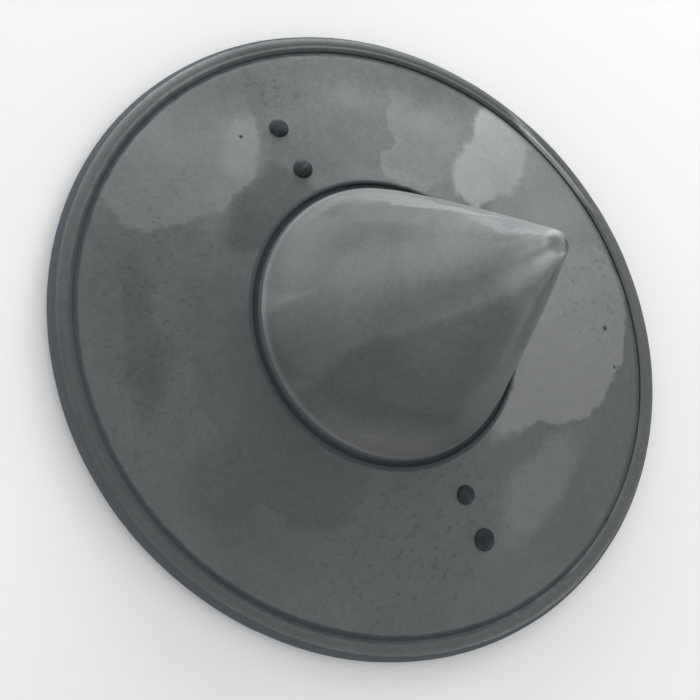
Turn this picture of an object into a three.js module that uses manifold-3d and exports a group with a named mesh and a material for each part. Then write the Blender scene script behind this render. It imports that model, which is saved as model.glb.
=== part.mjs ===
// A buckler: a small round hand shield of beaten steel, lying on its rim with the boss upwards.
// Millimetres, +Z up along the shield's axis, origin at the middle of the rim's underside, +Y along the grip.
import * as THREE from "three";
import { mergeVertices } from "three/addons/utils/BufferGeometryUtils.js";
import Module from "manifold-3d";

const wasm = await Module();
wasm.setup();

// Driving dimensions of the whole shield
const SHIELD_RADIUS = 150;
const SHEET = 1.6;
const GAP = 0.3;
const ROUND_STEPS = 60;

// The beaten outline is a little longer one way than the other, from a radius outside the rivets outwards
const OUT_OF_ROUND = 0.021;
const LONG_WAY = THREE.MathUtils.degToRad(139);
const OVAL_FROM = 100;
const OVAL_TO = 140;

// Rim: a strip rolled round the plate's edge, with a lip on the front face and a narrow flat to lie on
const RIM_SHEET = 1.3;
const ROLL_RADIUS = 5.2;
const ROLL_CENTRE = SHIELD_RADIUS - ROLL_RADIUS;
const LIP_RADIUS = 140.8;
const LIP_END = THREE.MathUtils.degToRad(100);
const BACK_END = THREE.MathUtils.degToRad(-203);
const FRONT_ROLL_STEPS = 5;
const BACK_ROLL_STEPS = 3;
const REST_FLAT = 0.25;

// Plate: a shallow dome from the rim's lip up to the foot of the boss
const EDGE_FRONT = 9.2;
const DOME_RISE = 11.5;
const PLATE_EDGE = 146.2;
const PLATE_STEPS = 5;

// Boss: a tall hollow cone with slightly swelling sides, set through the plate from behind
const BOSS_RADIUS = 63.7;
const BOSS_OPENING = 66.1;
const BOSS_HEIGHT = 147;
const BOSS_SWELL = 0.092;
const BOSS_WALL = 1.8;
const TIP_RADIUS = 6.2;
const TIP_STEPS = 3;
const FLANK_STEPS = 7;
const FLANGE_RADIUS = 91;
const FOOT_BEND = 1.4;

// The boss was fitted by eye: its foot is a little off the shield's middle, and its tip leans back over it
const BOSS_OFFSET = [1.2, 2.7];
const BOSS_LEAN = [-1, -6.7];
const CLEAR_OF_BOSS = 80;

// Grip: one forged bar, flat at its riveted ends and oval where the hand closes round it
const GRIP_X = -2.7;
const GRIP_LENGTH = 228;
const STRAP_WIDTH = 22;
const STRAP = 3;
const HOLD_WIDTH = 25;
const HOLD_DEPTH = 16;
const HOLD_CENTRE = 11.5;
const HOLD_HALF_LENGTH = 38;
const NECK_LENGTH = 20;
const HOLD_SQUARENESS = 0.9;
const STRAP_SQUARENESS = 0.3;
const END_NARROWING = 0.95;
const FLANGE_CLEARANCE = 1;
const STRAP_STEP_LENGTH = 8;
const GRIP_SIDES = 16;
const GRIP_STEPS = 38;

// Rivets: two at each end of the grip, one of them with a larger head
const RIVET_INNER = 82.4;
const RIVET_OUTER = 104.4;
const RIVET_SHANK = 2.4;
const RIVET_HEAD = 4.5;
const RIVET_LARGE_HEAD = 5.2;
const HEAD_HEIGHT = 1.9;
const TAIL_RADIUS = 3.9;
const TAIL_HEIGHT = 1.5;
const RIVET_SIDES = 12;
const HEAD_STEPS = 3;
const DRILL_LENGTH = 30;

const STEEL = { color: 0x666c6e, roughness: 0.42, metalness: 0.9 };
const RIM_STEEL = { color: 0x6b7173, roughness: 0.4, metalness: 0.9 };
const FORGED_IRON = { color: 0x4b5052, roughness: 0.6, metalness: 0.85 };
const RIVET_IRON = { color: 0x343b3d, roughness: 0.65, metalness: 0.8 };

// Height of the plate's front face at a radius: an arc of a very flat dome.
function plateFront(r) {
  const share = (LIP_RADIUS ** 2 - r ** 2) / (LIP_RADIUS ** 2 - BOSS_RADIUS ** 2);
  return EDGE_FRONT + DOME_RISE * share;
}

const plateBack = (r) => plateFront(r) - SHEET;
const flangeFront = (r) => plateBack(r) - GAP;
const flangeBack = (r) => flangeFront(r) - SHEET;

// Slope of the plate at a radius, as an angle.
function plateSlope(r) {
  return Math.atan((2 * DOME_RISE * r) / (LIP_RADIUS ** 2 - BOSS_RADIUS ** 2));
}

// Evenly spaced numbers from one end to the other, both included.
function steps(from, to, count) {
  return Array.from({ length: count + 1 }, (_, i) => from + ((to - from) * i) / count);
}

// Turns a profile of [radius, height] points once round the shield's axis.
function turned(profile, sides = ROUND_STEPS) {
  const points = profile.map(([r, z]) => new THREE.Vector2(r, z));
  return new THREE.LatheGeometry(points, sides).rotateX(Math.PI / 2);
}

// Moves points outside the rivets in or out, so that a round piece takes the beaten outline.
function outOfRound(geometry) {
  const position = geometry.attributes.position;
  for (let i = 0; i < position.count; i++) {
    const x = position.getX(i);
    const y = position.getY(i);
    const share = THREE.MathUtils.smoothstep(Math.hypot(x, y), OVAL_FROM, OVAL_TO);
    const stretch = 1 + OUT_OF_ROUND * share * Math.cos(2 * (Math.atan2(y, x) - LONG_WAY));
    position.setXY(i, x * stretch, y * stretch);
  }
  return geometry;
}

// Moves the boss, its opening and the sheet close to them off the middle, and leans the boss by its height.
function fittedByEye(geometry) {
  const position = geometry.attributes.position;
  const foot = plateFront(BOSS_RADIUS);
  for (let i = 0; i < position.count; i++) {
    const x = position.getX(i);
    const y = position.getY(i);
    const near = 1 - THREE.MathUtils.smoothstep(Math.hypot(x, y), BOSS_OPENING, CLEAR_OF_BOSS);
    const rise = THREE.MathUtils.clamp((position.getZ(i) - foot) / BOSS_HEIGHT, 0, 1);
    position.setXY(
      i,
      x + BOSS_OFFSET[0] * near + BOSS_LEAN[0] * rise,
      y + BOSS_OFFSET[1] * near + BOSS_LEAN[1] * rise,
    );
  }
  return geometry;
}

// A closed three.js geometry as a solid that can be cut.
function solid(geometry) {
  const bare = new THREE.BufferGeometry();
  bare.setAttribute("position", geometry.attributes.position);
  bare.setIndex(geometry.index);
  const merged = mergeVertices(bare, 1e-3);
  return new wasm.Manifold(
    new wasm.Mesh({
      numProp: 3,
      vertProperties: new Float32Array(merged.attributes.position.array),
      triVerts: new Uint32Array(merged.index.array),
    }),
  );
}

// A solid as a three.js geometry again.
function geometryOf(cutSolid) {
  const mesh = cutSolid.getMesh();
  const geometry = new THREE.BufferGeometry();
  geometry.setAttribute("position", new THREE.BufferAttribute(mesh.vertProperties, 3));
  geometry.setIndex(new THREE.BufferAttribute(mesh.triVerts, 1));
  geometry.computeVertexNormals();
  return geometry;
}

function piece(name, geometry, finish) {
  const mesh = new THREE.Mesh(geometry, new THREE.MeshStandardMaterial(finish));
  mesh.name = name;
  return mesh;
}

// The four rivets: where each one stands, how large its head is, and how many sheets it clamps.
const RIVETS = [1, -1].flatMap((side) =>
  [RIVET_INNER, RIVET_OUTER].map((radius) => {
    const outer = radius === RIVET_OUTER;
    const large = outer && side < 0;
    return {
      name: `rivet_${side > 0 ? "upper" : "lower"}_${outer ? "outer" : "inner"}`,
      y: side * radius,
      radius,
      lean: -side * plateSlope(radius),
      head: large ? RIVET_LARGE_HEAD : RIVET_HEAD,
      clamped: outer ? SHEET + STRAP + GAP : 2 * SHEET + STRAP + 2 * GAP,
    };
  }),
);

// Puts a shape made along +Z on the plate's front face at a rivet, square to the plate.
function placeAtRivet(object, rivet) {
  object.rotation.x = rivet.lean;
  object.position.set(GRIP_X, rivet.y, plateFront(rivet.radius));
  return object;
}

// Drills every rivet's hole through a piece.
function drilled(geometry) {
  const hole = RIVET_SHANK + GAP;
  const drill = new THREE.CylinderGeometry(hole, hole, DRILL_LENGTH, RIVET_SIDES).rotateX(Math.PI / 2);
  let cut = solid(geometry);
  for (const rivet of RIVETS) {
    const tool = placeAtRivet(new THREE.Object3D(), rivet);
    tool.updateMatrix();
    cut = cut.subtract(solid(drill.clone().applyMatrix4(tool.matrix)));
  }
  return geometryOf(cut);
}

function plateGeometry() {
  const radii = steps(BOSS_OPENING, PLATE_EDGE, PLATE_STEPS);
  const back = radii.map((r) => [r, plateBack(r)]);
  const front = radii.map((r) => [r, plateFront(r)]).reverse();
  return drilled(fittedByEye(outOfRound(turned([...back, ...front, back[0]]))));
}

// The rim's section: the lip, the roll round the edge with its flat underside, and its end behind the plate.
function rimGeometry() {
  const halfFlat = Math.acos(1 - REST_FLAT / ROLL_RADIUS);
  const angles = [
    ...steps(LIP_END, -Math.PI / 2 + halfFlat, FRONT_ROLL_STEPS),
    ...steps(-Math.PI / 2 - halfFlat, BACK_END, BACK_ROLL_STEPS),
  ];
  const arc = (radius) =>
    angles.map((a) => [
      ROLL_CENTRE + radius * Math.cos(a),
      ROLL_RADIUS - REST_FLAT + radius * Math.sin(a),
    ]);
  const lipUnder = plateFront(LIP_RADIUS) + GAP;
  const outside = [[LIP_RADIUS, lipUnder + RIM_SHEET], ...arc(ROLL_RADIUS)];
  const inside = [[LIP_RADIUS, lipUnder], ...arc(ROLL_RADIUS - RIM_SHEET)];
  return outOfRound(turned([...inside, ...outside.reverse(), inside[0]]));
}

// Radius and height of the boss's outer flank, from 0 at its foot to 1 at the point it aims for.
function flankPoint(share) {
  const radius = BOSS_RADIUS * (1 - share) * (1 + BOSS_SWELL * share);
  return [radius, plateFront(BOSS_RADIUS) + BOSS_HEIGHT * share];
}

// The boss's section: up the hollow's wall, out along the flange behind the plate, and up the outside.
function bossGeometry() {
  const tipSlope = Math.atan((BOSS_RADIUS * (1 + BOSS_SWELL)) / BOSS_HEIGHT);
  const aim = flankPoint(1)[1];
  const ballHeight = aim - TIP_RADIUS / Math.sin(tipSlope);
  const ballShare = 1 - (TIP_RADIUS * Math.cos(tipSlope)) / (BOSS_RADIUS * (1 + BOSS_SWELL));
  const ball = steps(tipSlope, Math.PI / 2, TIP_STEPS).map((a) => [
    TIP_RADIUS * Math.cos(a),
    ballHeight + TIP_RADIUS * Math.sin(a),
  ]);
  ball[ball.length - 1][0] = 0;
  const outerFlank = steps(0, ballShare, FLANK_STEPS).map(flankPoint);
  const wallAcross = BOSS_WALL / Math.cos(tipSlope);
  const innerTop = aim - wallAcross / Math.tan(tipSlope) - TIP_RADIUS;
  const innerFlank = outerFlank
    .map(([r, z]) => [r - wallAcross, z])
    .filter(([r, z]) => r > TIP_RADIUS && z < innerTop)
    .reverse();
  const hollow = [[0, innerTop], ...innerFlank];
  const innerFoot = BOSS_RADIUS - wallAcross;
  const under = [
    [innerFoot, flangeFront(BOSS_RADIUS)],
    [innerFoot + FOOT_BEND, flangeBack(innerFoot + FOOT_BEND)],
    [FLANGE_RADIUS, flangeBack(FLANGE_RADIUS)],
  ];
  const over = [
    [FLANGE_RADIUS, flangeFront(FLANGE_RADIUS)],
    [BOSS_RADIUS + FOOT_BEND, flangeFront(BOSS_RADIUS + FOOT_BEND)],
    [BOSS_RADIUS, flangeFront(BOSS_RADIUS) + FOOT_BEND],
  ];
  return drilled(fittedByEye(turned([...hollow, ...under, ...over, ...outerFlank, ...ball.slice(1)])));
}

// Height of the strap's upper side: it lies on the flange, then steps down on the plate's back beyond it.
function strapTop(r) {
  const start = FLANGE_RADIUS + FLANGE_CLEARANCE;
  const past = THREE.MathUtils.smoothstep(r, start, start + STRAP_STEP_LENGTH);
  return THREE.MathUtils.lerp(flangeBack(r), plateBack(r), past) - GAP;
}

// The grip starts as a round bar along Y, whose section is then drawn out along its length.
function gripGeometry() {
  const bar = new THREE.CylinderGeometry(1, 1, GRIP_LENGTH, GRIP_SIDES, GRIP_STEPS);
  const position = bar.attributes.position;
  const endRound = STRAP_WIDTH / 2;
  for (let i = 0; i < position.count; i++) {
    const y = position.getY(i);
    const r = Math.abs(y);
    const edgeRadius = Math.hypot(Math.max(r, BOSS_OPENING), STRAP_WIDTH / 2 - GRIP_X);
    const flat = THREE.MathUtils.smoothstep(r, HOLD_HALF_LENGTH, HOLD_HALF_LENGTH + NECK_LENGTH);
    const intoEnd = Math.max(0, r - (GRIP_LENGTH / 2 - endRound)) / endRound;
    const endWidth = Math.sqrt(1 - END_NARROWING * intoEnd ** 2);
    const halfWidth = (THREE.MathUtils.lerp(HOLD_WIDTH, STRAP_WIDTH, flat) / 2) * endWidth;
    const halfDepth = THREE.MathUtils.lerp(HOLD_DEPTH, STRAP, flat) / 2;
    const centre = THREE.MathUtils.lerp(HOLD_CENTRE, strapTop(edgeRadius) - STRAP / 2, flat);
    const squareness = THREE.MathUtils.lerp(HOLD_SQUARENESS, STRAP_SQUARENESS, flat);
    const across = position.getX(i);
    const down = position.getZ(i);
    position.setX(i, GRIP_X + halfWidth * Math.sign(across) * Math.abs(across) ** squareness);
    position.setZ(i, centre + halfDepth * Math.sign(down) * Math.abs(down) ** squareness);
  }
  return drilled(bar);
}

// A rivet standing on the plate's front face: domed head above, shank through the sheets, tail below.
function rivetGeometry(rivet) {
  const dome = (radius, height) =>
    steps(0, Math.PI / 2, HEAD_STEPS).map((a) => [radius * Math.cos(a), height * Math.sin(a)]);
  const tailTop = -rivet.clamped - 2 * GAP;
  const tail = dome(TAIL_RADIUS, -TAIL_HEIGHT).map(([r, z]) => [r, tailTop + z]).reverse();
  const head = dome(rivet.head, HEAD_HEIGHT).map(([r, z]) => [r, GAP + z]);
  tail[0][0] = 0;
  head[head.length - 1][0] = 0;
  return turned([...tail, [RIVET_SHANK, tailTop], [RIVET_SHANK, GAP], ...head], RIVET_SIDES);
}

const buckler = new THREE.Group();
buckler.add(piece("shield_plate", plateGeometry(), STEEL));
buckler.add(piece("rim_band", rimGeometry(), RIM_STEEL));
buckler.add(piece("boss", bossGeometry(), STEEL));
buckler.add(piece("grip", gripGeometry(), FORGED_IRON));
for (const rivet of RIVETS) {
  buckler.add(placeAtRivet(piece(rivet.name, rivetGeometry(rivet), RIVET_IRON), rivet));
}

export default buckler;
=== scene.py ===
"""A steel buckler lying on its rim, boss upwards, on a pale studio floor.

The shield is worked by hand: a plate beaten to a shallow dome, a strip rolled round its edge, a tall hollow
boss raised from sheet, a forged grip behind it and blackened iron rivets. Lengths are in millimetres up to
the stage.
"""

import math

import bpy
from mathutils import Matrix, Vector, noise


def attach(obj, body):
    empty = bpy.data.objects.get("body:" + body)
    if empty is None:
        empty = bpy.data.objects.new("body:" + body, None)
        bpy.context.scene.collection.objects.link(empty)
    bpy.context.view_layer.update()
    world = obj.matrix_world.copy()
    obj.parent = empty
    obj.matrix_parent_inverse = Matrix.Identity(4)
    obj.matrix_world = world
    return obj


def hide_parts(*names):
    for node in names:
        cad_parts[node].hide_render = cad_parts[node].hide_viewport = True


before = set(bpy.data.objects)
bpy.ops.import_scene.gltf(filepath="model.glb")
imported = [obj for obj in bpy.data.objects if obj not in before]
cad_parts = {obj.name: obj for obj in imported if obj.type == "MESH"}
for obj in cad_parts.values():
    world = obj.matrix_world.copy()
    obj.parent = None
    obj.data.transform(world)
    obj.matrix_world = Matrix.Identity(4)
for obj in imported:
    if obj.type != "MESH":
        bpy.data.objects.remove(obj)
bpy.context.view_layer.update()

MM = 0.001

# Outline: round, but beaten a little longer one way than the other outside the rivets
SHIELD_RADIUS = 150
OUT_OF_ROUND = 0.021
LONG_WAY = math.radians(139)
OVAL_FROM = 100
OVAL_TO = 140

# Plate, with its sharp edges broken
SHEET = 1.6
CUT_EDGE = 0.4
LIP_RADIUS = 140.8
EDGE_FRONT = 9.2
DOME_RISE = 11.5
PLATE_EDGE = 146.2
BOSS_OPENING = 66.1
GROOVE_RADIUS = 139.9
GROOVE_DEPTH = 0.2
GROOVE_WIDTH = 1.0
GROOVE_REACH = 3

# Rim strip, rolled round the plate's edge
RIM_SHEET = 1.3
ROLL_RADIUS = 5.2
ROLL_CENTRE = SHIELD_RADIUS - ROLL_RADIUS
LIP_END = math.radians(100)
LIP_BEVEL = 1.8
LIP_EDGE = 0.15
LIP_THICKNESS = 0.85
BACK_END = math.radians(-203)
REST_FLAT = 0.25

# Boss, a hollow cone with swelling sides and a flange behind the plate
GAP = 0.3
BOSS_RADIUS = 63.7
BOSS_HEIGHT = 147
BOSS_SWELL = 0.092
BOSS_WALL = 1.8
TIP_RADIUS = 6.2
FLANGE_RADIUS = 91
FOOT_BEND = 1.4

# The boss was fitted: its foot is off the shield's middle, and its tip leans back over it
BOSS_OFFSET = (1.2, 2.7)
BOSS_LEAN = (-1, -6.7)
CLEAR_OF_BOSS = 80

# Dirt in the joints: how far it has crept from them, and how thick it lies, where about 1 hides the steel
LIP_DIRT = 3.4
FOOT_DIRT = 3.6
FOOT_EDGE = 2.6
LIP_SOIL = 0.7
BEVEL_SOIL = 0.45
FOOT_SOIL = 1.4
FLANGE_SOIL = 0.5
JOINT_SOIL = 1

# On the rim's roll, painted shade: the roll is darkened low down, fading out upwards between two shares of
# the roll's radius above its middle
ROLL_PAINTED_SHADE = 0.5
ROLL_PAINTED_SHADE_FADE = (0.6, 1.15)
EDGE_PAINTED_SHADE = 3
EDGE_PAINTED_SHADE_FADE = (0.45, 0.95)

# Wear, partly a painted highlight: a bright line round the boss's foot, just above the dirt, and the tip, by
# shares of the boss's height
FOOT_RUB_AND_HIGHLIGHT_START = 1.04
FOOT_RUB_AND_HIGHLIGHT_END = 5.2
TIP_WEAR_AND_HIGHLIGHT = 0.3
TIP_WEAR_AND_HIGHLIGHT_FADE = (0.8, 0.95)

# Hammer relief: full on open faces, weaker on narrow ones, and none where pieces meet or the rim rests
FULL_RELIEF = 1
LAND_RELIEF = 0.5
TIP_RELIEF = 0.4
CLEAR_OF_FLOOR = 2
CLEAR_OF_FOOT = 12

# Points along the sections, with fewer on the hidden faces
DOME_STEPS = 84
EDGE_STEPS = 22
BEVEL_STEPS = 8
LAND_STEPS = 4
LAND_SPAN = (0.2, 0.8)
ROLL_STEPS = 26
ROLL_END_STEPS = 12
TIP_STEPS = 12
FLANK_STEPS = 120
FLANGE_STEPS = 16
HIDDEN_EVERY = 3

# Grip, one forged bar along Y
GRIP_X = -2.7
GRIP_LENGTH = 228
STRAP_WIDTH = 22
STRAP = 3
HOLD_WIDTH = 25
HOLD_DEPTH = 16
HOLD_CENTRE = 11.5
HOLD_HALF_LENGTH = 38
NECK_LENGTH = 20
STRAP_STEP_START = 1
STRAP_STEP_LENGTH = 8
END_ROUNDING = 0.98

# The grip's section: 1 is an oval, and less is squarer
HOLD_OVAL = 0.85
STRAP_OVAL = 0.3

# Dents along the grip, shallower on its straps
GRIP_DENT = 0.35
GRIP_DENT_LENGTH = 14
GRIP_DENTS_ACROSS = 1.3
STRAP_FLATTENING = 0.7

# Rivets: distance from the axis along the grip, and head radius
RIVETS = {
    "rivet_upper_inner": (82.4, 4.5),
    "rivet_upper_outer": (104.4, 4.5),
    "rivet_lower_inner": (-82.4, 4.5),
    "rivet_lower_outer": (-104.4, 5.2),
}
HEAD_HEIGHT = 1.9
SHANK_RADIUS = 2.4
TAIL_RADIUS = 3.9
TAIL_HEIGHT = 1.5

# A rivet's dome, of unit radius: depth of its dents, thickness of its rim and dents per radius
HEAD_DENT = 0.02
HEAD_RIM = 0.04
HEAD_DENTS = 1.7

# Points nearer than this are one point
SEAM = 0.01


def plate_front(r):
    share = (LIP_RADIUS**2 - r**2) / (LIP_RADIUS**2 - BOSS_RADIUS**2)
    return EDGE_FRONT + DOME_RISE * share


def plate_slope(r):
    return math.atan(2 * DOME_RISE * r / (LIP_RADIUS**2 - BOSS_RADIUS**2))


def plate_back(r):
    return plate_front(r) - SHEET


def flange_front(r):
    return plate_back(r) - GAP


def flange_back(r):
    return flange_front(r) - SHEET


def steps(start, end, count):
    """Evenly spaced numbers from start to end, both included."""
    return [start + (end - start) * i / count for i in range(count + 1)]


def smoothstep(value, low, high):
    share = min(1, max(0, (value - low) / (high - low)))
    return share * share * (3 - 2 * share)


def lerp(a, b, share):
    return a + (b - a) * share


def arc(centre, radius, start, end, count):
    """Points of an arc in a section, by angles in degrees from the outward direction."""
    turns = [math.radians(a) for a in steps(start, end, count)]
    return [(centre[0] + radius * math.cos(t), centre[1] + radius * math.sin(t)) for t in turns]


# Node helpers


def to_linear(hex_colour):
    """An sRGB hex colour as linear RGBA."""
    channels = [int(hex_colour[i : i + 2], 16) / 255 for i in (1, 3, 5)]
    linear = [c / 12.92 if c <= 0.04045 else ((c + 0.055) / 1.055) ** 2.4 for c in channels]
    return (*linear, 1)


def add(tree, kind, inputs=None, **settings):
    """Adds a node with its settings.

    An input is a value, a socket, or a node whose first open output is linked.
    """
    node = tree.nodes.new(kind)
    for name, value in settings.items():
        setattr(node, name, value)
    for key, value in (inputs or {}).items():
        open_inputs = [socket for socket in node.inputs if socket.enabled and socket.name == key]
        target = open_inputs[0] if open_inputs else node.inputs[key]
        if isinstance(value, bpy.types.Node):
            value = next(socket for socket in value.outputs if socket.enabled)
        if isinstance(value, bpy.types.NodeSocket):
            tree.links.new(value, target)
        else:
            target.default_value = value
    return node


def new_geometry_tree(name, sockets):
    """An empty geometry tree with named inputs of the given kinds, and those inputs' sockets."""
    tree = bpy.data.node_groups.new(name, "GeometryNodeTree")
    tree.interface.new_socket("Geometry", in_out="INPUT", socket_type="NodeSocketGeometry")
    for label, kind in sockets.items():
        tree.interface.new_socket(label, in_out="INPUT", socket_type=kind)
    tree.interface.new_socket("Geometry", in_out="OUTPUT", socket_type="NodeSocketGeometry")
    return tree, add(tree, "NodeGroupInput").outputs


def finish_by_nodes(piece, tree, values):
    """Runs a node tree on a piece and keeps the result as its plain mesh."""
    modifier = piece.modifiers.new("making", "NODES")
    modifier.node_group = tree
    for item in tree.interface.items_tree:
        if item.item_type == "SOCKET" and item.in_out == "INPUT" and item.name in values:
            modifier[item.identifier] = values[item.name]
    bpy.context.view_layer.update()
    evaluated = piece.evaluated_get(bpy.context.evaluated_depsgraph_get())
    mesh = bpy.data.meshes.new_from_object(evaluated)
    piece.modifiers.remove(modifier)
    piece.data = mesh
    mesh.name = piece.name
    return piece


def new_piece(name, mesh):
    piece = bpy.data.objects.new(name, mesh)
    bpy.context.scene.collection.objects.link(piece)
    return piece


def points_piece(name, places, values):
    """A piece of bare points in millimetres that carry named numbers."""
    mesh = bpy.data.meshes.new(name)
    mesh.from_pydata([Vector(place) * MM for place in places], [], [])
    for label, column in values.items():
        mesh.attributes.new(label, "FLOAT", "POINT").data.foreach_set("value", column)
    return new_piece(name, mesh)


def turning_tree():
    """Turns a section once round the axis, takes it out of round and beats a low relief into it."""
    real = "NodeSocketFloat"
    tree, given = new_geometry_tree(
        "turned_and_beaten",
        {
            "Steps Round": "NodeSocketInt",
            "Out Of Round": real,
            "Long Way": real,
            "Oval From": real,
            "Oval To": real,
            "Offset": "NodeSocketVector",
            "Offset From": real,
            "Offset To": real,
            "Lean": "NodeSocketVector",
            "Foot": real,
            "Tip": real,
            "Wave Depth": real,
            "Wave Size": real,
            "Hammer Depth": real,
            "Hammer Size": real,
            "Seed": real,
            "Finish": "NodeSocketMaterial",
        },
    )
    section = given["Geometry"]
    place = add(tree, "GeometryNodeInputPosition")

    # A grid with a row for each point of the section and a column for each step round
    size = add(tree, "GeometryNodeAttributeDomainSize", {"Geometry": section})
    rows = size.outputs["Point Count"]
    columns = add(tree, "ShaderNodeMath", {0: given["Steps Round"], 1: 1.0}, operation="ADD")
    grid = add(
        tree,
        "GeometryNodeMeshGrid",
        {"Size X": 1.0, "Size Y": 1.0, "Vertices X": rows, "Vertices Y": columns},
    )
    spot = add(tree, "ShaderNodeSeparateXYZ", {0: place})
    last = add(tree, "ShaderNodeMath", {0: rows, 1: 1.0}, operation="SUBTRACT")
    row = add(
        tree,
        "ShaderNodeMapRange",
        {"Value": spot.outputs["X"], "From Min": -0.5, "From Max": 0.5, "To Min": 0.0, "To Max": last},
    )
    index = add(tree, "ShaderNodeMath", {0: row}, operation="ROUND")
    turn = add(
        tree,
        "ShaderNodeMapRange",
        {"Value": spot.outputs["Y"], "From Min": -0.5, "From Max": 0.5, "To Min": 0.0, "To Max": math.tau},
    )
    point = add(
        tree,
        "GeometryNodeSampleIndex",
        {"Geometry": section, "Value": place, "Index": index},
        data_type="FLOAT_VECTOR",
    )
    turned = add(tree, "ShaderNodeVectorRotate", {"Vector": point, "Angle": turn}, rotation_type="Z_AXIS")
    shape = grid
    for label in ("grime_and_shade", "rubbed_and_highlit", "beaten"):
        value = add(tree, "GeometryNodeInputNamedAttribute", {"Name": label}, data_type="FLOAT")
        sampled = add(
            tree,
            "GeometryNodeSampleIndex",
            {"Geometry": section, "Value": value, "Index": index},
            data_type="FLOAT",
        )
        shape = add(
            tree,
            "GeometryNodeStoreNamedAttribute",
            {"Geometry": shape, "Name": label, "Value": sampled},
            data_type="FLOAT",
            domain="POINT",
        )
    shape = add(tree, "GeometryNodeSetPosition", {"Geometry": shape, "Position": turned})
    shape = add(tree, "GeometryNodeMergeByDistance", {"Geometry": shape, "Distance": SEAM * MM})

    # Out of round: points move in or out along their radius
    flat = add(tree, "ShaderNodeVectorMath", {0: place, 1: (1, 1, 0)}, operation="MULTIPLY")
    distance = add(tree, "ShaderNodeVectorMath", {0: flat}, operation="LENGTH")
    share = add(
        tree,
        "ShaderNodeMapRange",
        {
            "Value": distance,
            "From Min": given["Oval From"],
            "From Max": given["Oval To"],
            "To Min": 0.0,
            "To Max": given["Out Of Round"],
        },
        interpolation_type="SMOOTHSTEP",
    )
    angle = add(tree, "ShaderNodeMath", {0: spot.outputs["Y"], 1: spot.outputs["X"]}, operation="ARCTAN2")
    off_long = add(tree, "ShaderNodeMath", {0: angle, 1: given["Long Way"]}, operation="SUBTRACT")
    twice = add(tree, "ShaderNodeMath", {0: off_long, 1: 2.0}, operation="MULTIPLY")
    swing = add(tree, "ShaderNodeMath", {0: twice}, operation="COSINE")
    stretch = add(tree, "ShaderNodeMath", {0: swing, 1: share}, operation="MULTIPLY")
    shift = add(tree, "ShaderNodeVectorMath", {0: flat, "Scale": stretch}, operation="SCALE")
    shape = add(tree, "GeometryNodeSetPosition", {"Geometry": shape, "Offset": shift})

    # Off the middle near the boss, and leaning with its height
    near = add(
        tree,
        "ShaderNodeMapRange",
        {
            "Value": distance,
            "From Min": given["Offset From"],
            "From Max": given["Offset To"],
            "To Min": 1.0,
            "To Max": 0.0,
        },
        interpolation_type="SMOOTHSTEP",
    )
    rise = add(
        tree,
        "ShaderNodeMapRange",
        {"Value": spot.outputs["Z"], "From Min": given["Foot"], "From Max": given["Tip"]},
    )
    aside = add(tree, "ShaderNodeVectorMath", {0: given["Offset"], "Scale": near}, operation="SCALE")
    leant = add(tree, "ShaderNodeVectorMath", {0: given["Lean"], "Scale": rise}, operation="SCALE")
    moved = add(tree, "ShaderNodeVectorMath", {0: aside, 1: leant}, operation="ADD")
    shape = add(tree, "GeometryNodeSetPosition", {"Geometry": shape, "Offset": moved})

    # Relief: broad waves and the small flats of the planishing hammer, both faces of the sheet together
    wave_scale = add(tree, "ShaderNodeMath", {0: 1.0, 1: given["Wave Size"]}, operation="DIVIDE")
    wave = add(
        tree,
        "ShaderNodeTexNoise",
        {"Vector": place, "W": given["Seed"], "Scale": wave_scale, "Detail": 1.5},
        noise_dimensions="4D",
    )
    hammer_scale = add(tree, "ShaderNodeMath", {0: 1.0, 1: given["Hammer Size"]}, operation="DIVIDE")
    hammer = add(
        tree,
        "ShaderNodeTexVoronoi",
        {"Vector": place, "W": given["Seed"], "Scale": hammer_scale, "Smoothness": 0.35},
        voronoi_dimensions="4D",
        feature="SMOOTH_F1",
    )
    middle = add(tree, "ShaderNodeMath", {0: wave, 1: 0.5}, operation="SUBTRACT")
    wave_height = add(tree, "ShaderNodeMath", {0: middle, 1: given["Wave Depth"]}, operation="MULTIPLY")
    height = add(
        tree,
        "ShaderNodeMath",
        {0: hammer, 1: given["Hammer Depth"], 2: wave_height},
        operation="MULTIPLY_ADD",
    )
    beaten = add(tree, "GeometryNodeInputNamedAttribute", {"Name": "beaten"}, data_type="FLOAT")
    amount = add(tree, "ShaderNodeMath", {0: height, 1: beaten}, operation="MULTIPLY")
    normal = add(tree, "GeometryNodeInputNormal")
    raised = add(tree, "ShaderNodeVectorMath", {0: normal, "Scale": amount}, operation="SCALE")
    shape = add(tree, "GeometryNodeSetPosition", {"Geometry": shape, "Offset": raised})

    shape = add(tree, "GeometryNodeSetShadeSmooth", {"Geometry": shape, "Shade Smooth": True})
    shape = add(tree, "GeometryNodeRealizeInstances", {"Geometry": shape})
    shape = add(tree, "GeometryNodeSetMaterial", {"Geometry": shape, "Material": given["Finish"]})
    add(tree, "NodeGroupOutput", {"Geometry": shape})
    return tree


TURNING = turning_tree()


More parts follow.
